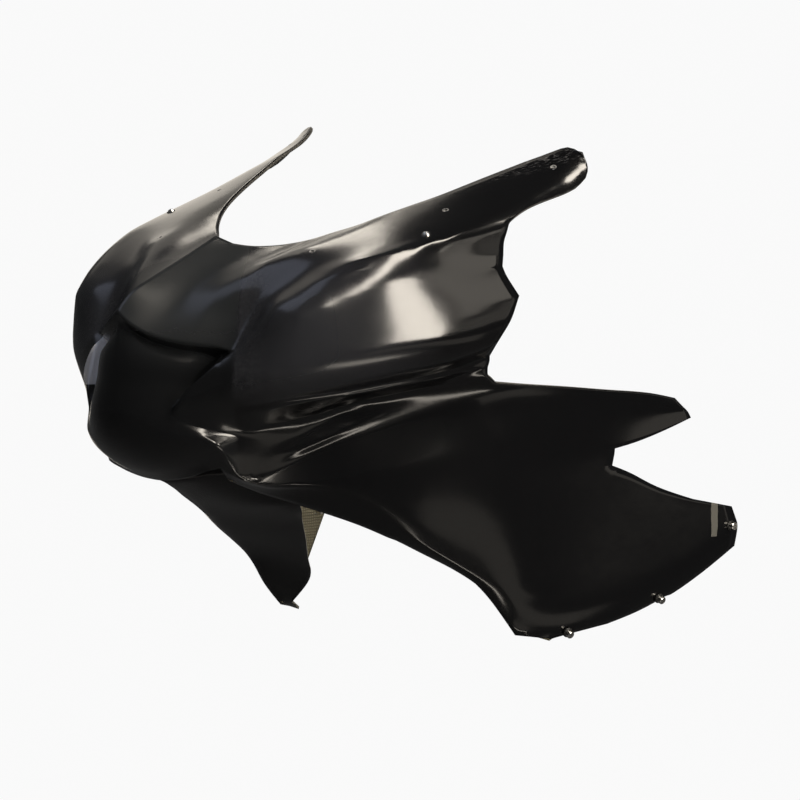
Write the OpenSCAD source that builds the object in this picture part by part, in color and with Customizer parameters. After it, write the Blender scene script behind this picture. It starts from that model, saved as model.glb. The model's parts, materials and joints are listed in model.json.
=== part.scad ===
// Upper fairing of a sports motorcycle: one moulded glass-fibre shell, nose towards -Y, left side +X

/* [Overall size] */
// Width over the side bands
overall_width = 516; // [400:1:640]
// Length from the nose to the tail of the side panels
overall_length = 712; // [560:1:900]
// Height from the lower corners to the horn tips
overall_height = 526; // [400:1:640]
// Thickness of the laminate
wall = 3; // [2:0.1:4]

/* [Nose] */
// How far the ball of the nose is set back under the brow
brow_setback = 13; // [6:0.5:18]
// How far the brow hangs down over the ball
brow_drop = 11; // [6:0.5:16]
// How far each side band bulges between its two creases
band_bulge = 27; // [8:0.5:34]
// Height of the small step under each side band
band_step = 5; // [3:0.5:8]

/* [Side panels] */
// How far each side panel bows out between its creases
panel_bow = 3; // [0:0.5:8]

/* [Fasteners] */
// Diameter of the screen holes
screen_hole_d = 5; // [4:0.1:6.5]
// Diameter of the stud and screw shanks
shank_d = 5; // [4:0.1:6]
// Diameter of their free ends inside the laminate
free_end_d = 4.6; // [3.5:0.1:5.5]
// How far each stud and screw reaches inside the laminate
shank_reach = 9; // [6:0.5:14]
// Diameter of the head of each edge stud
stud_head_d = 8.5; // [7:0.1:11]
// How far the head of each edge stud stands out of its grommet
stud_head = 5; // [3:0.1:7]
// Diameter of the rubber grommet under each edge stud
grommet_d = 11; // [9.5:0.1:13]
// Diameter of the cup washer under each stay screw
cup_d = 10; // [8:0.1:13]

/* [Hidden] */
$fn = 32;

// The control net was drawn at this size and is stretched to the overall size about its middle
net_width = 516;
net_length = 712;
net_height = 526;
net_middle = [0, 362, -10];

// Rails run from the centre line to the rear edge, one point for each control column.
// Columns 0 to 5 cross the nose, 5 is the cheek line, 11 ends the band and 16 is the last tip.
screen_edge = [
    [0, 162, 164], [14, 174, 156], [36, 196, 153], [72, 230, 160], [90, 246, 168], [104, 262, 174],
    [122, 290, 186], [136, 318, 196], [148, 345, 205], [157, 370, 214], [165, 392, 222], [172, 412, 229],
    [179, 441, 238], [187, 458, 244], [194, 470, 249], [204, 480, 253], [221, 483, 248]
];
horn_crease = [
    [0, 135, 152], [14, 144, 147], [36, 165, 142], [72, 192, 149], [90, 204, 157], [106, 216, 162],
    [130, 238, 169], [152, 258, 174], [172, 278, 178], [190, 300, 182], [207, 330, 188], [222, 372, 196],
    [224.5, 401, 205], [227, 424, 212], [229.5, 447, 219], [231.5, 468, 228], [232.5, 483, 235]
];
horn_edge = [
    [0, 105, 139], [13, 112, 133], [36, 132, 129], [70, 150, 136], [90, 160, 144], [107, 172, 149],
    [138, 190, 150], [165, 212, 155], [188, 236, 161], [206, 268, 168], [224, 312, 176], [238, 364, 182],
    [235, 388, 194], [235, 412, 200], [237, 439, 206], [239, 460, 213], [238, 475, 223]
];
shoulder = [
    [0, 72, 125], [13, 78, 118], [36, 94, 109], [66, 108, 112], [88, 122, 116], [106, 134, 116],
    [140, 142, 118], [168, 150, 126], [188, 172, 136], [211, 216, 146], [227, 275, 154], [239, 356, 163]
];
brow_top = [
    [0, 42, 111], [12, 46, 102], [36, 62, 89], [66, 84, 87], [88, 104, 86], [106, 114, 84],
    [146, 112, 96], [176, 130, 108], [196, 162, 122], [219, 210, 132], [232, 274, 139], [240, 354, 148]
];
brow_edge = [
    [0, 23, 92], [14, 24, 82], [36, 35, 69], [66, 58, 61], [90, 80, 58], [107, 95, 57],
    [148, 103, 77], [179, 120, 93], [200, 159, 109], [222, 207, 120], [236, 274, 127], [243, 350, 136]
];
band_foot = [
    [66, 41, -15], [120, 95, -6], [150, 133, 3], [176, 180, 9], [197, 230, 17], [217, 288, 26],
    [233, 341, 41]
];
gill_foot = [
    [103, 73, -44], [104, 118, -34], [126, 166, -21], [152, 206, -2], [181, 246, 6], [207, 299, 16],
    [230, 341, 29]
];
channel_back = [
    [102, 82, -53], [100, 114, -60], [118, 173, -40], [140, 217, -17], [172, 253, 1], [202, 303, 11],
    [228, 343, 20]
];
channel_lip = [
    [97, 86, -61], [96, 121, -83], [119, 173, -56], [143, 214, -36], [166, 258, -18], [195, 308, 1],
    [226, 357, 11], [228, 400, 6], [229, 455, 1], [227, 519, -7], [225, 582, -14], [223, 620, -22]
];
panel_top = [
    [88, 91, -72], [98, 127, -88], [114, 177, -65], [138, 217, -47], [161, 263, -32], [190, 313, -15],
    [222, 364, 2], [225, 402, -2], [227, 456, -8], [226, 520, -14], [224, 587, -23], [222, 634, -33]
];
panel_crease = [
    [86, 96, -76], [101, 137, -92], [121, 184, -88], [145, 222, -85], [168, 262, -77], [192, 312, -69],
    [213, 374, -60], [218, 411, -55], [221, 465, -47], [222, 518, -38], [221, 588, -37], [221, 642, -39]
];
flange_crease = [
    [79, 108, -84], [96, 156, -98], [124, 199, -99], [150, 250, -124], [172, 308, -166], [186, 364, -199],
    [197, 400, -225], [203, 422, -247], [210, 465, -254], [216, 530, -245], [219, 614, -222],
    [220, 718, -167]
];
lower_edge = [
    [76, 115, -88], [77, 158, -104], [109, 210, -124], [133, 254, -142], [160, 313, -174], [181, 371, -208],
    [189, 398, -241], [195, 413, -264], [203, 461, -270], [209, 534, -260], [212, 623, -237],
    [215, 717, -189]
];
// Free edge of the duct wall that turns in and back from the leading edge of each side panel
return_edge = [
    [72, 250, -68], [64, 310, -104], [60, 336, -140], [82, 357, -157], [107, 385, -182], [140, 418, -213],
    [160, 440, -237], [184, 434, -262], [200, 458, -273]
];
// The right panel has no tail: it is cut off from its lower tip up to the notch
right_notch = [[216, 491, -117], [219, 535, -101]];
right_flange = [[203, 431, -238], [210, 457, -223], [213, 507, -173]];
right_lower = [[195, 427, -265], [203, 447, -269], [207, 471, -209]];
// The last four points of the two rails that bound the notch in the rear edge
notch_top = [[217.5, 485, -70], [220, 535, -71], [221.5, 588, -61], [222, 645, -45]];
notch_bottom = [[216, 486, -107], [219, 532, -89], [221, 592, -116], [221, 707, -145]];

// Cheek line down the front of the band, and the centre line and side of the ball of the nose
cheek = [[106, 91, 53], [99, 78, 43], [87, 61, 25], [75, 46, 5]];
ball_front = [
    [0, 20, 50], [0, 14, 22], [0, 7, -2], [0, 7, -25], [0, 12, -40], [0, 28, -60], [0, 52, -77],
    [0, 68, -84], [0, 80, -90]
];
ball_side = [
    [84, 90, 36], [74, 72, 19], [66, 52, 1], [61, 39, -17], [63, 38, -25], [86, 59, -47], [87, 72, -58],
    [84, 79, -66], [78, 80, -75]
];

// How the points of a row are spread: across the ball, and down the band and outwards from it
ball_shares = [0, 0.2, 0.5, 0.78, 1];
band_levels = [0.1, 0.35, 0.6, 0.85];
band_swell = [0.2, 0.64, 1, 0.7];
band_tail = [[247, 351, 127], [256, 362, 105], [258, 349, 80], [249, 337, 56]];
band_headings = [35, 48, 60, 70, 78, 84];

function mix(a, b, t) = a + (b - a) * t;
// A row round the ball of the nose, and a row along the band
function ball_row(n) = [
    for (s = ball_shares)
        [ball_side[n][0] * s, mix(ball_front[n][1], ball_side[n][1], s * s),
         mix(ball_front[n][2], ball_side[n][2], s * s)]
];
function band_row(n) = [
    for (k = [0:4])
        mix(brow_edge[k + 6], band_foot[k + 1], band_levels[n])
            + band_bulge * band_swell[n] * min(1, 0.5 + 0.25 * k)
                * [sin(band_headings[k]), -cos(band_headings[k]), 0],
    band_tail[n]
];
// The skin turns in under the brow, and a small step runs under the band
function brow_foot() = [
    for (k = [0:4]) brow_edge[k] + [0, brow_setback * min(1, 0.3 + k * 0.35), -brow_drop]
];
function step_row() = concat(
    [[70, 44, -21]],
    [for (k = [1:6]) band_foot[k] + [-band_step * 0.3, band_step * 0.3, -band_step]]
);
// A row of the side panel between its upper crease and its lower flange
function panel_row(share, tail) = concat(
    [for (k = [0:7])
        mix(panel_crease[k], flange_crease[k], share) + [panel_bow * min(1, k / 3, (8 - k) / 3), 0, 0]],
    tail
);
// Rails of the side panel have no points ahead of the cheek
ahead = [for (k = [0:4]) undef];

// The control net, from the screen edge down to the return edge
left_net = [
    screen_edge,
    horn_crease,
    horn_edge,
    shoulder,
    brow_top,
    brow_edge,
    concat(brow_foot(), [cheek[0]], band_row(0)),
    concat(ball_row(0), [cheek[1]], band_row(1)),
    concat(ball_row(1), [cheek[2]], band_row(2)),
    concat(ball_row(2), [cheek[3]], band_row(3)),
    concat(ball_row(3), band_foot),
    concat(ball_row(4), step_row()),
    concat(ball_row(5), gill_foot),
    concat(ball_row(6), channel_back),
    concat(ball_row(7), channel_lip),
    concat(ball_row(8), panel_top),
    concat(ahead, panel_crease),
    concat(ahead, panel_row(0.33, notch_top)),
    concat(ahead, panel_row(0.66, notch_bottom)),
    concat(ahead, flange_crease),
    concat(ahead, lower_edge),
    concat(ahead, return_edge)
];
// The first points of a rail, for the right side where it is cut short
function head(rail, count) = [for (k = [0:count - 1]) rail[k]];
right_net = [
    for (i = [0:len(left_net) - 1])
        i == 18 ? concat(ahead, head(panel_row(0.66, []), 8), right_notch) :
        i == 19 ? concat(ahead, head(flange_crease, 7), right_flange) :
        i == 20 ? concat(ahead, head(lower_edge, 7), right_lower) :
        left_net[i]
];

// Numbers of the rails and columns where the skin creases, splits or ends
brow_line = 5;
foot_line = 6;
lip_line = 14;
chin_line = 15;
cheek_column = 5;
wall_column = 4;
band_end = 11;
notch_line = 17;
notch_column = 14;
horn_line = 2;
tail_line = 18;
fading_line = 16;
fade_column = 12;
edge_line = 20;
return_column = 13;
crease_lines = [5, 10, 11, 12, 14, 15, 19, 20];

// Play round a shank, how far under the laminate its free end starts, depth of its seat in the
// skin, and heights of the rings on the seat
shank_play = 0.4;
shoulder_drop = 1.5;
seat_depth = 0.6;
grommet_h = 2.5;
cup_h = 1.6;

// Facets between one control column or rail and the next
column_steps = [1, 2, 2, 2, 1, 3, 2, 2, 2, 2, 2, 1, 1, 1, 2, 2];
rail_steps = [2, 2, 3, 3, 2, 1, 2, 2, 2, 2, 1, 2, 2, 2, 1, 4, 2, 3, 4, 1, 3];

function slope_at(a, b, c) =
    let (d = norm(b - a), e = norm(c - b)) ((b - a) / d * e + (c - b) / e * d) / (d + e);
function hermite(p, q, m, n, t) =
    p * (2 * t * t * t - 3 * t * t + 1) + m * (t * t * t - 2 * t * t + t)
        + q * (3 * t * t - 2 * t * t * t) + n * (t * t * t - t * t);
function span(o, p, q, r, t) =
    let (
        d = norm(q - p),
        m = is_undef(o) ? undef : d * slope_at(o, p, q),
        n = is_undef(r) ? undef : d * slope_at(p, q, r),
        from = !is_undef(m) ? m : is_undef(n) ? q - p : 1.5 * (q - p) - 0.5 * n,
        to = !is_undef(n) ? n : is_undef(m) ? q - p : 1.5 * (q - p) - 0.5 * m
    ) hermite(p, q, from, to, t);
function flip(p) = [-p[0], p[1], p[2]];

// A point on one rail, with sharp turns at the cheek
function sharp_column(i, k) =
    i >= brow_line && k == cheek_column || i > brow_line && i < 11 && k == wall_column;
function on_rail(net, i, k, t) =
    let (rail = net[i])
    t == 0 ? rail[k] : t == 1 ? rail[k + 1] :
    span(
        k == 0 ? (i > brow_line ? flip(rail[1]) : undef) : sharp_column(i, k) ? undef : rail[k - 1],
        rail[k], rail[k + 1],
        sharp_column(i, k + 1) || k + 2 >= len(rail) ? undef : rail[k + 2], t);

// A point between two rails, with sharp turns at the creases
function has_rail(net, i, k) = i >= 0 && i < len(net) && k + 1 < len(net[i]) && !is_undef(net[i][k]);
function sharp_line(i, k, t) =
    k + t < cheek_column ? i == brow_line || i == foot_line :
    i == fading_line ? k < fade_column : len(search(i, crease_lines)) > 0;
function at(net, i, s, k, t) =
    s == 0 ? on_rail(net, i, k, t) : s == 1 ? on_rail(net, i + 1, k, t) :
    span(
        sharp_line(i, k, t) || !has_rail(net, i - 1, k) ? undef : on_rail(net, i - 1, k, t),
        on_rail(net, i, k, t), on_rail(net, i + 1, k, t),
        sharp_line(i + 1, k, t) || !has_rail(net, i + 2, k) ? undef : on_rail(net, i + 2, k, t), s);

// Fine rows and columns of the skin
function stops(steps) = [
    for (k = [0:len(steps) - 1]) for (n = [0:steps[k] - 1]) [k, n / steps[k]],
    [len(steps) - 1, 1]
];
rows = stops(rail_steps);
columns = stops(column_steps);
last_row = len(rows) - 1;
last_column = len(columns) - 1;

// Each side is 1 for the left and -1 for the right
function in_outline(i, k, side) =
    (i < horn_line || i >= lip_line || k < band_end) && (i < chin_line || k >= cheek_column)
        && !(i == notch_line && k >= notch_column) && (i < edge_line || k < return_column)
        && (side > 0 || i < tail_line || k < notch_column);
function cell_there(r, c, side) =
    r >= 0 && r < last_row && c >= 0 && c < last_column
        && in_outline(rows[r][0], columns[c][0], side);
function there(r, c, side) =
    cell_there(r, c, side) || cell_there(r - 1, c, side) || cell_there(r, c - 1, side)
        || cell_there(r - 1, c - 1, side);

function stretch(p) = let (q = p - net_middle)
    [
        q[0] * overall_width / net_width,
        q[1] * overall_length / net_length,
        q[2] * overall_height / net_height
    ];
function skin_of(net, side) = [
    for (r = [0:last_row]) [
        for (c = [0:last_column])
            there(r, c, side)
                ? stretch(at(net, rows[r][0], rows[r][1], columns[c][0], columns[c][1])) : undef
    ]
];
function backs_of(skin, side) = [
    for (r = [0:last_row]) [
        for (c = [0:last_column])
            there(r, c, side) ? skin[r][c] - wall * normal_at(skin, r, c, side) : undef
    ]
];
function skin_at(skin, r, c) = c < 0 ? flip(skin[r][-c]) : skin[r][c];
function has(r, c, side) = r >= 0 && r <= last_row && abs(c) <= last_column && there(r, abs(c), side);
function normal_at(skin, r, c, side) =
    let (
        across = skin_at(skin, r, has(r, c + 1, side) ? c + 1 : c)
            - skin_at(skin, r, has(r, c - 1, side) ? c - 1 : c),
        down = skin_at(skin, has(r + 1, c, side) ? r + 1 : r, c)
            - skin_at(skin, has(r - 1, c, side) ? r - 1 : r, c),
        n = cross(down, across)
    ) n / norm(n);
left_skin = skin_of(left_net, 1);
right_skin = skin_of(right_net, -1);
left_backs = backs_of(left_skin, 1);
right_backs = backs_of(right_skin, -1);

// Both faces of the laminate and its cut edges, on both sides of the centre line at once
stride = 2 * last_column + 1;
face_count = (last_row + 1) * stride;
function place_of(r, c) = r * stride + c + last_column;
function cell_at(r, c) = c >= 0 ? cell_there(r, c, 1) : cell_there(r, -c - 1, -1);
function rim(a, b) = [[a, b, b + face_count], [a, b + face_count, a + face_count]];
function layer(left, right) = [
    for (r = [0:last_row]) for (c = [-last_column:last_column])
        let (p = c < 0 ? right[r][-c] : left[r][c])
        is_undef(p) ? [0, 0, 0] : c < 0 ? flip(p) : p
];
cells = [
    for (r = [0:last_row - 1]) for (c = [-last_column:last_column - 1]) if (cell_at(r, c)) [r, c]
];
shell_faces = [
    for (q = cells)
        let (
            r = q[0], c = q[1], n = face_count,
            a = place_of(r, c), b = place_of(r, c + 1), d = place_of(r + 1, c + 1), e = place_of(r + 1, c)
        )
        each concat(
            [[a, b, d], [a, d, e], [a + n, d + n, b + n], [a + n, e + n, d + n]],
            cell_at(r - 1, c) ? [] : rim(b, a),
            cell_at(r + 1, c) ? [] : rim(e, d),
            cell_at(r, c - 1) ? [] : rim(a, e),
            cell_at(r, c + 1) ? [] : rim(d, b)
        )
];

// Where things are fixed: rail, share to the next rail, column, share to the next column
screen_spots = [[1, 0.79, 5, 0.49], [0, 0.67, 9, 0.11], [0, 0.45, 13, 0.63]];
stay_spots = [[1, 0.76, 9, 0.03]];
left_stud_spots = [[19, 0.72, 13, 0.23], [19, 0.7, 14, 0.83], [18, 0.78, 15, 0.91]];
right_stud_spots = [[18, 0.61, 13, 0.37]];

function place(net, q) = stretch(at(net, q[0], q[1], q[2], q[3]));
function facing(net, q) =
    let (
        e = 0.02,
        across = place(net, q + [0, 0, 0, e]) - place(net, q - [0, 0, 0, e]),
        down = place(net, q + [0, e, 0, 0]) - place(net, q - [0, e, 0, 0]),
        n = cross(down, across)
    ) n / norm(n);
module on_skin(net, spots)
    for (q = spots)
        translate(place(net, q))
        let (n = facing(net, q))
        rotate([0, acos(n[2]), atan2(n[1], n[0])])
        children();
module on_both_sides(spots) {
    on_skin(left_net, spots) children();
    mirror([1, 0, 0]) on_skin(left_net, spots) children();
}
module on_studs() {
    on_skin(left_net, left_stud_spots) children();
    mirror([1, 0, 0]) on_skin(right_net, right_stud_spots) children();
}

module through(d)
    translate([0, 0, -wall * 2]) cylinder(h = wall * 4, d = d);
// Each pair of screen holes is drilled straight down
module screen_holes()
    for (q = screen_spots) for (side = [1, -1])
        let (p = place(left_net, q))
        translate([side * p[0], p[1], p[2]]) through(screen_hole_d);
// A flat seat cut into the curved skin, for a ring that the shank passes through
module seat(d) {
    through(shank_d + shank_play);
    translate([0, 0, -seat_depth]) cylinder(h = wall * 2, d = d + 1);
}
module shell() {
    color([0.05, 0.05, 0.06])
    difference() {
        laminate();
        screen_holes();
        on_both_sides(stay_spots) seat(cup_d);
        on_studs() seat(grommet_d);
    }
}
module laminate() {
    polyhedron(
        points = concat(layer(left_skin, right_skin), layer(left_backs, right_backs)),
        faces = shell_faces, convexity = 12
    );
}

// Black rubber ring that holds each edge stud in the laminate
module stud_grommets() {
    color([0.03, 0.03, 0.03])
    on_studs()
    translate([0, 0, -seat_depth])
    rotate_extrude()
    polygon([
        [shank_d / 2 + 0.05, 0], [grommet_d / 2, 0], [grommet_d / 2, 1.4], [grommet_d / 2 - 1, grommet_h],
        [shank_d / 2 + 0.05, grommet_h]
    ]);
}
function free_end() = [
    [0, -wall - shank_reach], [free_end_d / 2 - 0.5, -wall - shank_reach],
    [free_end_d / 2, -wall - shank_reach + 0.5], [free_end_d / 2, -wall - shoulder_drop],
    [shank_d / 2, -wall - shoulder_drop]
];
// Turned stud with a round head over the grommet and a plain end inside
module edge_studs() {
    color([0.7, 0.7, 0.7])
    on_studs()
    translate([0, 0, -seat_depth])
    difference() {
        rotate_extrude()
        polygon([
            each free_end(),
            [shank_d / 2, grommet_h],
            [stud_head_d / 2, grommet_h], [stud_head_d / 2, grommet_h + stud_head - 0.8],
            [stud_head_d / 2 - 0.8, grommet_h + stud_head], [0, grommet_h + stud_head]
        ]);
        translate([-stud_head_d, -0.7, grommet_h + stud_head - 1.6]) cube([stud_head_d * 2, 1.4, 3]);
    }
}
// Bright cup washer round each stay screw
module stay_cups() {
    color([0.75, 0.75, 0.77])
    on_both_sides(stay_spots)
    translate([0, 0, -seat_depth])
    rotate_extrude()
    polygon([
        [shank_d / 2 + 0.2, 0], [cup_d / 2, 0], [cup_d / 2 - 0.8, cup_h], [cup_d / 2 - 1.6, cup_h],
        [shank_d / 2 + 0.9, cup_h * 0.5], [shank_d / 2 + 0.2, cup_h * 0.5]
    ]);
}
// Domed screw in each cup washer
module stay_screws() {
    color([0.6, 0.6, 0.62])
    on_both_sides(stay_spots)
    translate([0, 0, cup_h * 0.5 - seat_depth])
    difference() {
        rotate_extrude()
        polygon([
            each free_end(),
            [shank_d / 2, 0], [shank_d / 2 + 0.8, 0],
            [shank_d / 2 + 0.8, 0.6], [shank_d / 2 + 0.3, 1.5], [1.5, 2.1], [0, 2.3]
        ]);
        translate([0, 0, 0.9]) cylinder(h = 3, d = 2.9, $fn = 6);
    }
}

shell();
stud_grommets();
edge_studs();
stay_cups();
stay_screws();
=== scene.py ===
"""Looks for the upper fairing: its smoothed shell in gel coat and bare glass cloth, its small
fasteners, and a pale studio.
"""

import json
import math

import bmesh
import bpy
from mathutils import Matrix, Vector
from mathutils.bvhtree import BVHTree


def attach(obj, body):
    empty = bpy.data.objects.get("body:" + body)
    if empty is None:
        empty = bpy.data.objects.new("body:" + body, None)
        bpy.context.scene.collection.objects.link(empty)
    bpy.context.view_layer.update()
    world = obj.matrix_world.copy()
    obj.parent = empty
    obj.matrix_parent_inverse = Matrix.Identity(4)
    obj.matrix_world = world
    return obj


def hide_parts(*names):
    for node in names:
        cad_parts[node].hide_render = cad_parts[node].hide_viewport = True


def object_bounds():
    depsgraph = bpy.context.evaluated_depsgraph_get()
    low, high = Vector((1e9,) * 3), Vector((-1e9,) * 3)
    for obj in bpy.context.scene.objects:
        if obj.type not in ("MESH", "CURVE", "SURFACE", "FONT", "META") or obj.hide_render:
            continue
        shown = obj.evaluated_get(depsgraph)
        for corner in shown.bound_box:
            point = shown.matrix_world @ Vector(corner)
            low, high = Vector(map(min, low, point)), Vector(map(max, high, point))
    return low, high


bl_info = {
    "name": "Race fairing looks",
    "version": (1, 0, 0),
    "blender": (4, 5, 0),
    "location": "3D View > Sidebar > Fairing",
    "description": "Gel coat, glass cloth, metal and rubber for the fairing, and a pale studio",
    "category": "Object",
}

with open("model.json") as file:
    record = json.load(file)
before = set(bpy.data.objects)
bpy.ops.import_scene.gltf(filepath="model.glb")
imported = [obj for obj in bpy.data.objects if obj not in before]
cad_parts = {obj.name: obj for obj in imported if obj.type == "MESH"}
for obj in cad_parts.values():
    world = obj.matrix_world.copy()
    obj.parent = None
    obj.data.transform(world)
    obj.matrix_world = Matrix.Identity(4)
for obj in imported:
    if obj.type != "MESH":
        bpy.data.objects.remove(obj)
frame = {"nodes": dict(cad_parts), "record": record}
CAD_LOW, CAD_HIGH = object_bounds()
MOUNTS = {mount["name"]: mount for mount in frame["record"]["mounts"]}
MM = 0.001


# Colour and material helpers


def linear(hex_colour):
    """An sRGB hex colour as linear red, green, blue and alpha."""
    parts = [int(hex_colour[i : i + 2], 16) / 255 for i in (1, 3, 5)]
    return [p / 12.92 if p <= 0.04045 else ((p + 0.055) / 1.055) ** 2.4 for p in parts] + [1.0]


def add(tree, kind, output, inputs=(), **settings):
    """Adds a node with its settings; each input is a link or a value.

    Returns the output of that name, or the node itself where the name is None.
    """
    made = tree.nodes.new("ShaderNode" + kind)
    for name, value in settings.items():
        setattr(made, name, value)
    for key, value in dict(inputs).items():
        if isinstance(value, bpy.types.NodeSocket):
            tree.links.new(value, made.inputs[key])
        else:
            made.inputs[key].default_value = value
    return made.outputs[output] if output else made


def new_material(name):
    """An empty node material with its shader and the piece's own coordinates in metres."""
    material = bpy.data.materials.new(name)
    material.use_nodes = True
    tree = material.node_tree
    tree.nodes.clear()
    shader = add(tree, "BsdfPrincipled", None)
    add(tree, "OutputMaterial", None, {"Surface": shader.outputs["BSDF"]})
    place = add(tree, "TexCoord", "Object")
    return material, tree, shader, place


def per_metre(size_mm):
    """Texture scale for blotches or lines about size_mm across."""
    return 1 / (size_mm * MM)


# Finishes

# The dust on the nose ends on a line that runs this much further forward for each step outward.
# The second number turns steps back into steps square to that line.
DUST_SLANT, SQUARE_TO_LINE = 1.17, 0.65
DUST_BLUR = 5 * MM

# Directions along a horn's edge and across it, for the horn at positive x
HORN_ALONG = (0.43, 0.865, 0.254)
HORN_ACROSS = (-0.88, 0.349, 0.302)

# Chipped ring round a screen hole, from its axis to the middle of the ring, and half its width
RING_RADIUS, RING_HALF = 3.0 * MM, 0.4 * MM

# Painted light on the far cheek, a pale patch where its wall is brightly lit: its middle across
# and up, half its size, its rear end, and the black border beside it
PAINTED_LIGHT_SIDE, PAINTED_LIGHT_HEIGHT = -84 * MM, 49 * MM
PAINTED_LIGHT_HALF_WIDTH, PAINTED_LIGHT_HALF_HEIGHT = 20 * MM, 31 * MM
PAINTED_LIGHT_REAR = -250 * MM
BORDER_WIDTH = 3 * MM

# Line of filler across a side panel: how far back it is, half its width, and its lower end
FILLER_BACK, FILLER_HALF, FILLER_LOW = 322 * MM, 4.5 * MM, -166 * MM

# Bands that a wave texture draws to a unit at scale 1
WAVE_BANDS = 3.2


def gel_coat_material(looks):
    """Black polyester gel coat, moulded and polished.

    Deep gloss over a faint ripple, dulled by dust on the nose and by haze behind it, with scuffs,
    and a pale patch of painted light on the far cheek.
    """
    material, tree, shader, place = new_material("Black polyester gel coat, moulded and polished")
    side, back, height = add(tree, "SeparateXYZ", None, {0: place}).outputs
    outward = add(tree, "Math", "Value", {0: side}, operation="ABSOLUTE")
    blotch = add(tree, "TexNoise", "Fac", {"Vector": place, "Scale": per_metre(12), "Detail": 5})

    # Dust film on the nose, grey and matt, as far as a ragged line down each side where tape was
    behind = add(
        tree, "Math", "Value", {0: outward, 1: DUST_SLANT, 2: back}, operation="MULTIPLY_ADD"
    )
    behind = add(tree, "Math", "Value", {0: behind, 1: SQUARE_TO_LINE}, operation="MULTIPLY")
    ragged = add(tree, "Math", "Value", {0: blotch, 1: 6 * MM, 2: behind}, operation="MULTIPLY_ADD")
    clear = looks.dust_end + DUST_BLUR
    film = add(
        tree, "MapRange", "Result",
        {"Value": ragged, "From Min": looks.dust_end, "From Max": clear, "To Min": 1, "To Max": 0},
    )
    upper = add(
        tree, "MapRange", "Result",
        {"Value": height, "From Min": 40 * MM, "From Max": 95 * MM, "To Min": 0.2},
    )
    film = add(tree, "Math", "Value", {0: film, 1: upper}, operation="MULTIPLY")

    # Polishing haze behind that line, bluish, fading out along the shell
    haze = add(
        tree, "MapRange", "Result",
        {"Value": ragged, "From Min": looks.dust_end, "From Max": clear},
    )
    fading = add(
        tree, "MapRange", "Result",
        {"Value": back, "From Min": -250 * MM, "From Max": -90 * MM, "To Min": 1, "To Max": 0},
    )
    above = add(
        tree, "MapRange", "Result", {"Value": height, "From Min": 5 * MM, "From Max": 45 * MM}
    )
    for limit in (fading, above):
        haze = add(tree, "Math", "Value", {0: haze, 1: limit}, operation="MULTIPLY")

    # Strip rubbed by the tape: short pale marks that fade out from 20 to 40 mm behind that line
    rubbed = add(
        tree, "TexNoise", "Fac",
        {"Vector": place, "Scale": per_metre(4), "Detail": 6, "Roughness": 0.7},
    )
    rubbed = add(
        tree, "MapRange", "Result", {"Value": rubbed, "From Min": 0.45, "From Max": 0.9}
    )
    strip = add(
        tree, "MapRange", "Result",
        {
            "Value": ragged, "From Min": looks.dust_end + 20 * MM,
            "From Max": looks.dust_end + 40 * MM, "To Min": 1, "To Max": 0,
        },
    )
    for limit in (strip, haze):
        rubbed = add(tree, "Math", "Value", {0: rubbed, 1: limit}, operation="MULTIPLY")

    # Scuffs on the horns where the screen rubs: short lines along the edge, near the top
    mirrored = add(tree, "CombineXYZ", "Vector", {0: outward, 1: back, 2: height})
    along, across = (
        add(tree, "VectorMath", "Value", {0: mirrored, 1: direction}, operation="DOT_PRODUCT")
        for direction in (HORN_ALONG, HORN_ACROSS)
    )
    lines = add(tree, "CombineXYZ", "Vector", {0: along, 1: across})
    lines = add(
        tree, "Mapping", "Vector", {"Vector": lines, "Scale": (per_metre(9), per_metre(1.1), 1)}
    )
    lines = add(tree, "TexNoise", "Fac", {"Vector": lines, "Scale": 1, "Detail": 2})
    scuff = add(tree, "MapRange", "Result", {"Value": lines, "From Min": 0.57, "From Max": 0.68})
    top = add(
        tree, "MapRange", "Result", {"Value": height, "From Min": 195 * MM, "From Max": 225 * MM}
    )
    rim = add(
        tree, "MapRange", "Result", {"Value": across, "From Min": -82 * MM, "From Max": -66 * MM}
    )
    for limit in (top, rim):
        scuff = add(tree, "Math", "Value", {0: scuff, 1: limit}, operation="MULTIPLY")

    # Pale rings round the screen holes, where the drill chipped the gel coat
    nearest = 1.0
    for centre, _ in spots("screen_hole"):
        away = add(tree, "VectorMath", "Value", {0: place, 1: centre}, operation="DISTANCE")
        nearest = add(tree, "Math", "Value", {0: nearest, 1: away}, operation="MINIMUM")
    ring = add(
        tree, "Math", "Value", {0: nearest, 1: RING_RADIUS, 2: RING_HALF}, operation="COMPARE"
    )

    # Painted light: a pale patch on the far cheek under the brow, where its wall is brightly lit,
    # with a thin black border on either side
    cheek = add(
        tree, "Math", "Value", {0: height, 1: PAINTED_LIGHT_HEIGHT, 2: PAINTED_LIGHT_HALF_HEIGHT}, operation="COMPARE"
    )
    front = add(tree, "Math", "Value", {0: back, 1: PAINTED_LIGHT_REAR}, operation="LESS_THAN")
    cheek = add(tree, "Math", "Value", {0: cheek, 1: front}, operation="MULTIPLY")
    painted_light_patch, black_border = (
        add(tree, "Math", "Value", {0: side, 1: PAINTED_LIGHT_SIDE, 2: half}, operation="COMPARE")
        for half in (PAINTED_LIGHT_HALF_WIDTH, PAINTED_LIGHT_HALF_WIDTH + BORDER_WIDTH)
    )
    painted_light_patch, black_border = (
        add(tree, "Math", "Value", {0: marks, 1: cheek}, operation="MULTIPLY")
        for marks in (painted_light_patch, black_border)
    )

    # Line of filler where the tail was joined on
    edge = add(tree, "Math", "Value", {0: blotch, 1: 5 * MM, 2: back}, operation="MULTIPLY_ADD")
    filler = add(
        tree, "Math", "Value", {0: edge, 1: FILLER_BACK, 2: FILLER_HALF}, operation="COMPARE"
    )
    upper_tail = add(tree, "Math", "Value", {0: height, 1: FILLER_LOW}, operation="GREATER_THAN")
    filler = add(tree, "Math", "Value", {0: filler, 1: upper_tail}, operation="MULTIPLY")

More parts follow.
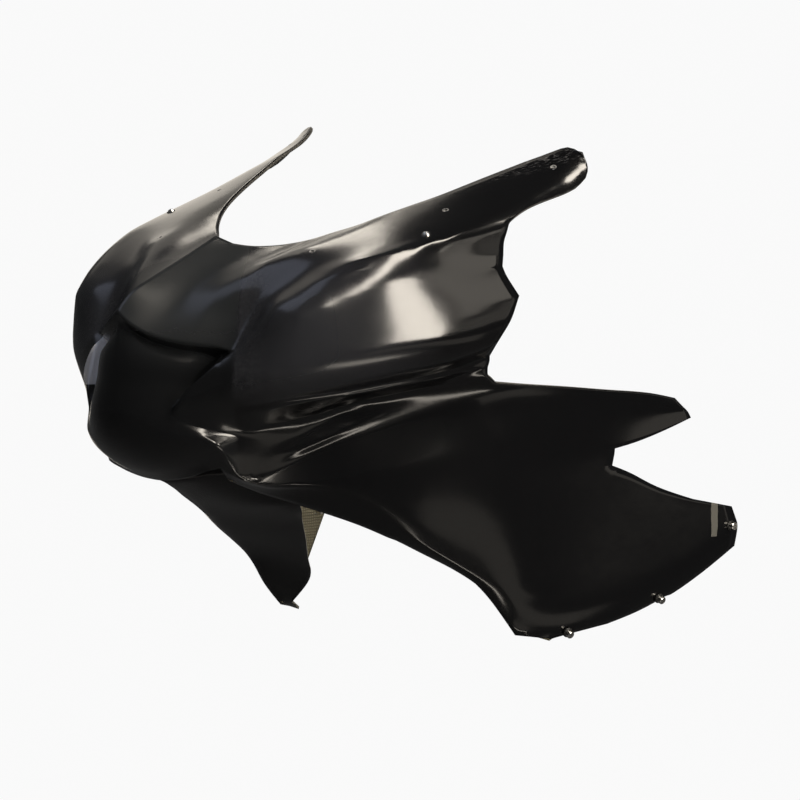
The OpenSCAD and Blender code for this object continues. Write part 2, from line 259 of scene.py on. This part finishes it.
    colour = linear(looks.gel_hex)
    for marks, shade in (
        (film, looks.dust_hex),
        (haze, looks.haze_hex),
        (rubbed, "#37373a"),
        (scuff, "#5a5a5c"),
        (filler, "#55544f"),
        (ring, "#8c8c8c"),
        # The black border, then the pale patch of painted light on the far cheek
        (black_border, "#050505"),
        (painted_light_patch, "#f0f0f4"),
    ):
        colour = add(
            tree, "Mix", "Result", {"Factor": marks, "A": colour, "B": linear(shade)},
            data_type="RGBA",
        )
    tree.links.new(colour, shader.inputs["Base Color"])

    dull = looks.gel_roughness
    for marks, more in ((film, 0.16), (haze, 0.08), (blotch, 0.05), (filler, 0.3)):
        dull = add(tree, "Math", "Value", {0: marks, 1: more, 2: dull}, operation="MULTIPLY_ADD")
    tree.links.new(dull, shader.inputs["Roughness"])
    shader.inputs["IOR"].default_value = 1.55

    # The mould's slow waves, and the cloth that prints through, drawn coarser than it is to show
    waves = add(tree, "TexNoise", "Fac", {"Vector": place, "Scale": per_metre(25), "Detail": 2})
    waves = add(tree, "Bump", "Normal", {"Height": waves, "Strength": 0.05, "Distance": 2 * MM})
    cloth = add(tree, "TexNoise", "Fac", {"Vector": place, "Scale": per_metre(3), "Detail": 1})
    cloth = add(
        tree, "Bump", "Normal",
        {"Height": cloth, "Strength": 0.035, "Distance": 0.4 * MM, "Normal": waves},
    )
    tree.links.new(cloth, shader.inputs["Normal"])
    return material


def bare_laminate_material(looks):
    """Glass cloth laminate, laid up by hand.

    Woven cloth wetted by brush: blotched olive with a basket of threads, and black higher up.
    """
    material, tree, shader, place = new_material("Glass cloth laminate, laid up by hand")
    over, under = (
        add(
            tree, "TexWave", "Fac",
            {
                "Vector": place, "Scale": per_metre(looks.thread_mm * WAVE_BANDS),
                "Distortion": 2, "Detail": 1,
            },
            bands_direction=direction,
        )
        for direction in "YZ"
    )
    cloth = add(tree, "Math", "Value", {0: over, 1: under}, operation="MULTIPLY")
    wet = add(tree, "TexNoise", "Fac", {"Vector": place, "Scale": per_metre(40), "Detail": 4})
    tone = add(
        tree, "Math", "Value", {0: wet, 1: 0.5, 2: cloth}, operation="MULTIPLY_ADD", use_clamp=True
    )
    height = add(tree, "SeparateXYZ", "Z", {0: place})
    # Black above a height of -30 mm, blending in from -70 mm
    darker_up = add(
        tree, "MapRange", "Result", {"Value": height, "From Min": -70 * MM, "From Max": -30 * MM}
    )
    colour = linear("#24231d")
    for marks, shade in ((tone, looks.glass_hex), (darker_up, "#131312")):
        colour = add(
            tree, "Mix", "Result", {"Factor": marks, "A": colour, "B": linear(shade)},
            data_type="RGBA",
        )
    tree.links.new(colour, shader.inputs["Base Color"])
    shader.inputs["Roughness"].default_value = 0.45
    bump = add(tree, "Bump", "Normal", {"Height": cloth, "Strength": 0.6, "Distance": 0.8 * MM})
    tree.links.new(bump, shader.inputs["Normal"])
    return material


def cut_edge_material(looks):
    """Laminate edge, sanded: grey and matt, with patches of darker resin."""
    material, tree, shader, place = new_material("Laminate edge, sanded")
    resin = add(tree, "TexNoise", "Fac", {"Vector": place, "Scale": per_metre(15), "Detail": 2})
    colour = add(
        tree, "Mix", "Result",
        {"Factor": resin, "A": linear("#2b2a29"), "B": linear(looks.edge_hex)}, data_type="RGBA",
    )
    tree.links.new(colour, shader.inputs["Base Color"])
    shader.inputs["Roughness"].default_value = 0.5
    return material


def metal_material(name, dark, light, roughness, grain_mm):
    """Bare metal: a fine grain from the tool spreads the highlight and breaks up its colour."""
    material, tree, shader, place = new_material(name)
    grain = add(
        tree, "TexNoise", "Fac", {"Vector": place, "Scale": per_metre(grain_mm), "Detail": 4}
    )
    colour = add(
        tree, "Mix", "Result", {"Factor": grain, "A": linear(dark), "B": linear(light)},
        data_type="RGBA",
    )
    tree.links.new(colour, shader.inputs["Base Color"])
    shader.inputs["Metallic"].default_value = 1
    dull = add(
        tree, "MapRange", "Result",
        {"Value": grain, "To Min": roughness * 0.7, "To Max": roughness * 1.3},
    )
    tree.links.new(dull, shader.inputs["Roughness"])
    bump = add(tree, "Bump", "Normal", {"Height": grain, "Strength": 0.1, "Distance": 0.1 * MM})
    tree.links.new(bump, shader.inputs["Normal"])
    return material


def rubber_material():
    """Black nitrile rubber, moulded: matt, with a fine grain that keeps its highlight broad."""
    material, tree, shader, place = new_material("Black nitrile rubber, moulded")
    grain = add(tree, "TexNoise", "Fac", {"Vector": place, "Scale": per_metre(0.8), "Detail": 3})
    colour = add(
        tree, "Mix", "Result",
        {"Factor": grain, "A": linear("#0a0a0a"), "B": linear("#1a1a19")}, data_type="RGBA",
    )
    tree.links.new(colour, shader.inputs["Base Color"])
    shader.inputs["Roughness"].default_value = 0.6
    bump = add(tree, "Bump", "Normal", {"Height": grain, "Strength": 0.2, "Distance": 0.1 * MM})
    tree.links.new(bump, shader.inputs["Normal"])
    return material


# The shell

# Material slots
GEL_COAT, BARE, CUT_EDGE = 0, 1, 2

# Radius that is cleared round each kind of hole before smoothing, and that of the holes drilled
# again afterwards. A hole's points lie within the length of the bit.
CLEARED = {"screen_hole": 3.2 * MM, "stud": 6.2 * MM, "stay": 5.7 * MM}
SCREEN_HOLE = 2.5 * MM
BIT_LENGTH = 30 * MM

# Points closer than this are one, and a ray starts this far inside a face
WELD = 0.02 * MM
INSIDE = 0.01 * MM

# The opposite skin lies within this many walls, except behind a cut edge
OPPOSITE = 1.7

# Bends: triangles join below the first, and the gel coat doesn't run on over the second
JOINED_BEND, COAT_BEND = math.radians(40), math.radians(60)

# Creases, with bends in degrees: full above the first bend. A fold's crease grows from the second
# bend over the span that follows, up to the last number.
SHARP_BEND = 50
FOLD_BEND, FOLD_SPAN, FOLD_CREASE = 8, 20, 0.38


def new_mesh(name, made):
    """A mesh of what the bmesh holds, which is freed."""
    mesh = bpy.data.meshes.new(name)
    made.to_mesh(mesh)
    made.free()
    return mesh


def new_object(name, data):
    """An object of that data, in the scene's collection."""
    thing = bpy.data.objects.new(name, data)
    bpy.context.collection.objects.link(thing)
    return thing


def spots(prefix):
    """Place and axis of every hole and pin whose mount's name starts with prefix."""
    found = []
    for name, mount in MOUNTS.items():
        if name.startswith(prefix):
            middle, axis = Vector(mount["pos_m"]), Vector(mount["axis"]).normalized()
            half = Vector((mount["dims"].get("spacing_x_mm", 0) * MM / 2, 0, 0))
            found += [(middle + half * side, axis) for side in ((1, -1) if half.length else (0,))]
    if not found:
        raise ValueError("The record has no mount whose name starts with " + prefix)
    return found


def merged_copy(name):
    """The CAD node's triangles as one closed bmesh."""
    source = frame["nodes"][name]
    made = bmesh.new()
    made.from_mesh(source.data)
    made.transform(source.matrix_world)
    bmesh.ops.remove_doubles(made, verts=made.verts, dist=WELD)
    return made


def close_holes(made, places, radius):
    """Takes out what was drilled along each axis and closes the skin over it."""
    gone = set()
    for centre, axis in places:
        for vert in made.verts:
            offset = vert.co - centre
            along = offset.dot(axis)
            if abs(along) < BIT_LENGTH and (offset - axis * along).length < radius:
                gone.add(vert)
    bmesh.ops.delete(made, geom=list(gone), context="VERTS")
    edges = [edge for edge in made.edges if edge.is_boundary]
    bmesh.ops.holes_fill(made, edges=edges, sides=0)


def laminate_parts(made, wall):
    """The faces of the gel-coated outside, spread from the foremost one, and of the cut edges."""
    made.faces.ensure_lookup_table()
    tree = BVHTree.FromBMesh(made)
    rim = set()
    for face in made.faces:
        start = face.calc_center_median() - face.normal * INSIDE
        if tree.ray_cast(start, -face.normal, wall * OPPOSITE)[0] is None:
            rim.add(face)
    skins = (face for face in made.faces if face not in rim)
    front = min(skins, key=lambda face: face.calc_center_median().y)
    outside, todo = {front}, [front]
    while todo:
        for edge in todo.pop().edges:
            for other in edge.link_faces:
                new = other not in outside and other not in rim
                if new and edge.calc_face_angle() < COAT_BEND:
                    outside.add(other)
                    todo.append(other)
    return outside, rim


def crease_edges(made, rim):
    """Keeps true creases and the rim sharp, and tightens the folds away from the rim."""
    crease = made.edges.layers.float.new("crease_edge")
    rim_points = {vert for face in rim for vert in face.verts}
    near_rim = {vert for point in rim_points for face in point.link_faces for vert in face.verts}
    for edge in made.edges:
        bend = math.degrees(edge.calc_face_angle())
        if bend > SHARP_BEND or len({face.material_index for face in edge.link_faces}) > 1:
            edge[crease] = 1.0
        elif not near_rim.intersection(edge.verts):
            edge[crease] = FOLD_CREASE * min(1, max(0, (bend - FOLD_BEND) / FOLD_SPAN)) ** 0.5


def drill(piece, places, radius):
    """Cuts a round hole along each axis."""
    tool = bmesh.new()
    for centre, axis in places:
        turn = Vector((0, 0, 1)).rotation_difference(axis).to_matrix().to_4x4()
        bmesh.ops.create_cone(
            tool, cap_ends=True, segments=32, radius1=radius, radius2=radius, depth=BIT_LENGTH,
            matrix=Matrix.Translation(centre) @ turn,
        )
    bit = new_object("drill", new_mesh("drill", tool))
    bit.data.materials.append(piece.data.materials[GEL_COAT])
    cut = piece.modifiers.new("Drill", "BOOLEAN")
    cut.operation, cut.object, cut.solver = "DIFFERENCE", bit, "EXACT"
    settle(piece)
    bpy.data.objects.remove(bit)


def settle(piece):
    """Bakes the modifiers into the piece's own mesh."""
    graph = bpy.context.evaluated_depsgraph_get()
    old = piece.data
    piece.data = bpy.data.meshes.new_from_object(piece.evaluated_get(graph))
    piece.modifiers.clear()
    piece.data.name = piece.name
    bpy.data.meshes.remove(old)


class ShellLooks(bpy.types.PropertyGroup):
    """Sizes and colours of the shell."""

    wall: bpy.props.FloatProperty(
        name="Wall", description="Thickness of the laminate", default=3 * MM, unit="LENGTH"
    )
    gel_hex: bpy.props.StringProperty(
        name="Gel coat", description="Colour of the gel coat as an sRGB hex value",
        default="#050506",
    )
    glass_hex: bpy.props.StringProperty(
        name="Bare glass", description="Lightest colour of the bare laminate", default="#8a846c"
    )
    edge_hex: bpy.props.StringProperty(
        name="Cut edge", description="Lightest colour of the trimmed edge", default="#55534f"
    )
    dust_hex: bpy.props.StringProperty(
        name="Dust", description="Colour of the dusty gel coat on the nose", default="#202224"
    )
    haze_hex: bpy.props.StringProperty(
        name="Haze", description="Colour of the hazy gel coat behind it", default="#26272b"
    )
    gel_roughness: bpy.props.FloatProperty(
        name="Roughness", description="Roughness of the clean gel coat", default=0.12, min=0, max=1
    )
    dust_end: bpy.props.FloatProperty(
        name="Dust end", description="How far back the dust on the nose reaches",
        default=-91 * MM, unit="LENGTH",
    )
    thread_mm: bpy.props.FloatProperty(
        name="Thread", description="Spacing of the glass threads in millimetres", default=3.0
    )


class FAIRING_OT_shell(bpy.types.Operator):
    """Smooths the moulded shell and gives it gel coat, bare glass and cut edges"""

    bl_idname = "fairing.shell"
    bl_label = "Shell"

    def execute(self, context):
        looks = context.scene.fairing_shell
        made = merged_copy("shell")
        for prefix, radius in CLEARED.items():
            close_holes(made, spots(prefix), radius)
        bmesh.ops.join_triangles(
            made, faces=made.faces,
            angle_face_threshold=JOINED_BEND, angle_shape_threshold=math.radians(180),
        )
        outside, rim = laminate_parts(made, looks.wall)
        for face in made.faces:
            face.material_index = CUT_EDGE if face in rim else GEL_COAT if face in outside else BARE
            face.smooth = True
        crease_edges(made, rim)
        shell = new_object("moulded_shell", new_mesh("moulded_shell", made))
        for finish in (gel_coat_material, bare_laminate_material, cut_edge_material):
            shell.data.materials.append(finish(looks))
        smooth = shell.modifiers.new("Smooth", "SUBSURF")
        smooth.levels = smooth.render_levels = 2
        settle(shell)
        drill(shell, spots("screen_hole"), SCREEN_HOLE)
        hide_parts("shell")
        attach(shell, "root")
        return {"FINISHED"}


class FAIRING_OT_fasteners(bpy.types.Operator):
    """Gives the studs, screws, cup washers and rubber rings their metal and rubber"""

    bl_idname = "fairing.fasteners"
    bl_label = "Fasteners"

    def execute(self, context):
        turned = metal_material("Stainless steel, turned", "#b9b7b2", "#f0eeea", 0.25, 0.6)
        pressed = metal_material("Stainless steel, pressed", "#cfcdc8", "#f0eeea", 0.18, 1.0)
        plated = metal_material("Steel, zinc plated", "#b3b4b5", "#e6e7e8", 0.28, 0.8)
        finishes = {
            "edge_studs": turned,
            "stay_cups": pressed,
            "stay_screws": plated,
            "stud_grommets": rubber_material(),
        }
        for name, material in finishes.items():
            piece = frame["nodes"][name]
            piece.data.materials.clear()
            piece.data.materials.append(material)
        return {"FINISHED"}


# The studio

WARM, COOL = "#fff6e8", "#dde6ff"

# Lamps: name, both ends and width in metres, brightness of the face, colour
LAMPS = (
    ("Ceiling strip", (0.5, 0.33, 1.85), (2.3, -0.86, 1.25), 0.3, 18, WARM),
    ("Ceiling panel", (0.33, -0.19, 1.85), (0.53, -0.19, 1.85), 0.2, 3.5, WARM),
    ("Side strip", (1.5, 0.08, -0.05), (1.5, 0.08, 0.9), 0.4, 17, WARM),
    ("Floor strip", (1.05, -0.35, -1.1), (1.05, 0.3, -1.1), 0.1, 6, WARM),
    ("Far window", (-1.04, 0.62, 0.95), (-0.8, 0.47, 1.27), 0.08, 5, WARM),
    ("Far wall", (-1.9, 0.2, 1.3), (-1.3, 1.6, 1.3), 1.0, 0.4, WARM),
    ("Front panel", (-1.05, -0.28, 1.68), (-0.19, -1.07, 1.68), 0.87, 0.8, COOL),
    ("Rear wall", (7.4, 3.1, 0.3), (4.0, 6.9, 0.3), 2.6, 0.5, WARM),
    ("Rear window", (1.9, 0.6, 0.85), (1.6, 1.05, 0.85), 0.5, 1.6, WARM),
    ("Back wall", (-0.65, 2.4, 0.2), (-2.3, 1.1, 0.2), 1.6, 1.0, WARM),
    ("Lit floor", (1.82, -0.16, -0.9), (1.4, 1.17, -0.9), 0.4, 0.35, WARM),
)

# The floor reaches this far. This share of it glows as the backdrop does, and the rest is its own
# paint, which keeps the shadow.
FLOOR_REACH = 60
FLOOR_GLOW = 0.95

# Strength at which the world lights the part
WORLD_LIGHT = 0.04

# The photograph's frame: the point in its middle and its width there in metres, and the sensor
# in millimetres
AIM = (0.2117, -0.1294, 0.0100)
FRAME_WIDTH = 0.8386
SENSOR = 36


class StageLooks(bpy.types.PropertyGroup):
    """Floor, backdrop and camera."""

    floor_hex: bpy.props.StringProperty(
        name="Floor", description="Colour of the floor as an sRGB hex value", default="#e9e9e9"
    )
    floor_drop: bpy.props.FloatProperty(
        name="Drop", description="Height of the held fairing over the floor",
        default=0.9, unit="LENGTH",
    )
    mirrored_glow: bpy.props.FloatProperty(
        name="Mirrored glow", description="How bright gloss and metal see the backdrop",
        default=0.06, min=0, max=1,
    )
    camera_away: bpy.props.FloatProperty(
        name="Camera distance", description="From the fairing to the camera",
        default=12, unit="LENGTH",
    )
    camera_azimuth: bpy.props.FloatProperty(
        name="Azimuth", description="Camera direction round from the nose",
        default=math.radians(47.7), subtype="ANGLE",
    )
    camera_elevation: bpy.props.FloatProperty(
        name="Elevation", description="Camera height over the horizon",
        default=math.radians(5.5), subtype="ANGLE",
    )


def backdrop_rays(tree):
    """Rays that see the white backdrop, and mirrored rays, which see it dim as in a dark room."""
    path = add(tree, "LightPath", None)
    seen = add(
        tree, "Math", "Value",
        {0: path.outputs["Is Camera Ray"], 1: path.outputs["Is Transmission Ray"]},
        operation="MAXIMUM",
    )
    return seen, path.outputs["Is Glossy Ray"]


def lay_floor(looks):
    """Sets the floor under the held fairing."""
    made = bmesh.new()
    bmesh.ops.create_grid(made, x_segments=2, y_segments=2, size=FLOOR_REACH)
    bmesh.ops.translate(made, verts=made.verts, vec=(0, 0, CAD_LOW[2] - looks.floor_drop))
    floor = new_object("floor", new_mesh("floor", made))

    # Matt white paint: no highlight, and it runs into the backdrop with only a faint shadow on it
    material, tree, shader, _ = new_material("Painted floor, matt white")
    shader.inputs["Base Color"].default_value = linear(looks.floor_hex)
    shader.inputs["Roughness"].default_value = 0.8
    seen, mirrored = backdrop_rays(tree)
    glow = add(
        tree, "Math", "Value", {0: mirrored, 1: looks.mirrored_glow, 2: seen},
        operation="MULTIPLY_ADD",
    )
    glow = add(tree, "Emission", "Emission", {"Strength": glow})
    part = add(tree, "Math", "Value", {0: seen, 1: mirrored})
    part = add(tree, "Math", "Value", {0: part, 1: FLOOR_GLOW}, operation="MULTIPLY")
    both = add(tree, "MixShader", "Shader", {"Fac": part, 1: shader.outputs["BSDF"], 2: glow})
    tree.links.new(both, tree.nodes["Material Output"].inputs["Surface"])
    floor.data.materials.append(material)


def hang_backdrop(looks):
    """Sets a world that shows white and hardly lights the fairing."""
    world = bpy.data.worlds.new("Studio")
    world.use_nodes = True
    tree = world.node_tree
    tree.nodes.clear()
    seen, mirrored = backdrop_rays(tree)
    strength = add(
        tree, "Math", "Value", {0: mirrored, 1: looks.mirrored_glow, 2: seen},
        operation="MULTIPLY_ADD",
    )
    strength = add(tree, "Math", "Value", {0: strength, 1: WORLD_LIGHT}, operation="MAXIMUM")
    white = add(
        tree, "Background", "Background", {"Color": linear("#ffffff"), "Strength": strength}
    )
    add(tree, "OutputWorld", None, {"Surface": white})
    bpy.context.scene.world = world


def strip_lamp(name, start, end, width, glow, colour):
    """A rectangular lamp from start to end that faces the fairing, its face as bright as glow."""
    start, end = Vector(start), Vector(end)
    middle, along = (start + end) / 2, (end - start).normalized()
    back = (middle - along * middle.dot(along)).normalized()
    turn = Matrix((along, back.cross(along), back)).transposed().to_4x4()
    data = bpy.data.lights.new(name, "AREA")
    data.shape, data.size, data.size_y = "RECTANGLE", (end - start).length, width
    data.energy, data.color = glow * math.pi * data.size * width, linear(colour)[:3]
    new_object(name, data).matrix_world = Matrix.Translation(middle) @ turn


def place_camera(looks):
    """Looks at the fairing from the photograph's side, with the photograph's frame."""
    azimuth, elevation = looks.camera_azimuth, looks.camera_elevation
    level = math.cos(elevation)
    back = Vector((math.sin(azimuth) * level, -math.cos(azimuth) * level, math.sin(elevation)))
    data = bpy.data.cameras.new("Camera")
    data.sensor_width = SENSOR
    data.lens = SENSOR * looks.camera_away / FRAME_WIDTH
    data.clip_start, data.clip_end = 0.1, 200
    camera = new_object("Camera", data)
    camera.rotation_mode = "QUATERNION"
    camera.rotation_quaternion = back.to_track_quat("Z", "Y")
    camera.location = Vector(AIM) + back * looks.camera_away
    bpy.context.scene.camera = camera


class FAIRING_OT_stage(bpy.types.Operator):
    """Sets the pale floor, the backdrop, the lamps and the camera"""

    bl_idname = "fairing.stage"
    bl_label = "Stage"

    def execute(self, context):
        looks = context.scene.fairing_stage
        lay_floor(looks)
        hang_backdrop(looks)
        for lamp in LAMPS:
            strip_lamp(*lamp)
        place_camera(looks)
        context.scene.view_settings.view_transform = "Standard"
        return {"FINISHED"}


# The add-on


class FAIRING_PT_panel(bpy.types.Panel):
    """Lists the fairing's looks and pieces"""

    bl_idname = "FAIRING_PT_panel"
    bl_label = "Fairing"
    bl_space_type = "VIEW_3D"
    bl_region_type = "UI"
    bl_category = "Fairing"

    def draw(self, context):
        for looks in (context.scene.fairing_shell, context.scene.fairing_stage):
            for name in looks.__annotations__:
                self.layout.prop(looks, name)
        for operator in OPERATORS:
            self.layout.operator(operator.bl_idname)


OPERATORS = (FAIRING_OT_shell, FAIRING_OT_fasteners, FAIRING_OT_stage)
CLASSES = (ShellLooks, StageLooks) + OPERATORS + (FAIRING_PT_panel,)


def register():
    """Adds the classes and the scene's two groups of looks."""
    for item in CLASSES:
        bpy.utils.register_class(item)
    bpy.types.Scene.fairing_shell = bpy.props.PointerProperty(type=ShellLooks)
    bpy.types.Scene.fairing_stage = bpy.props.PointerProperty(type=StageLooks)


def unregister():
    """Takes them out again."""
    del bpy.types.Scene.fairing_shell
    del bpy.types.Scene.fairing_stage
    for item in reversed(CLASSES):
        bpy.utils.unregister_class(item)


def main():
    """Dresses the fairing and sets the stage."""
    register()
    bpy.ops.fairing.shell()
    bpy.ops.fairing.fasteners()
    bpy.ops.fairing.stage()


if __name__ == "__main__":
    main()
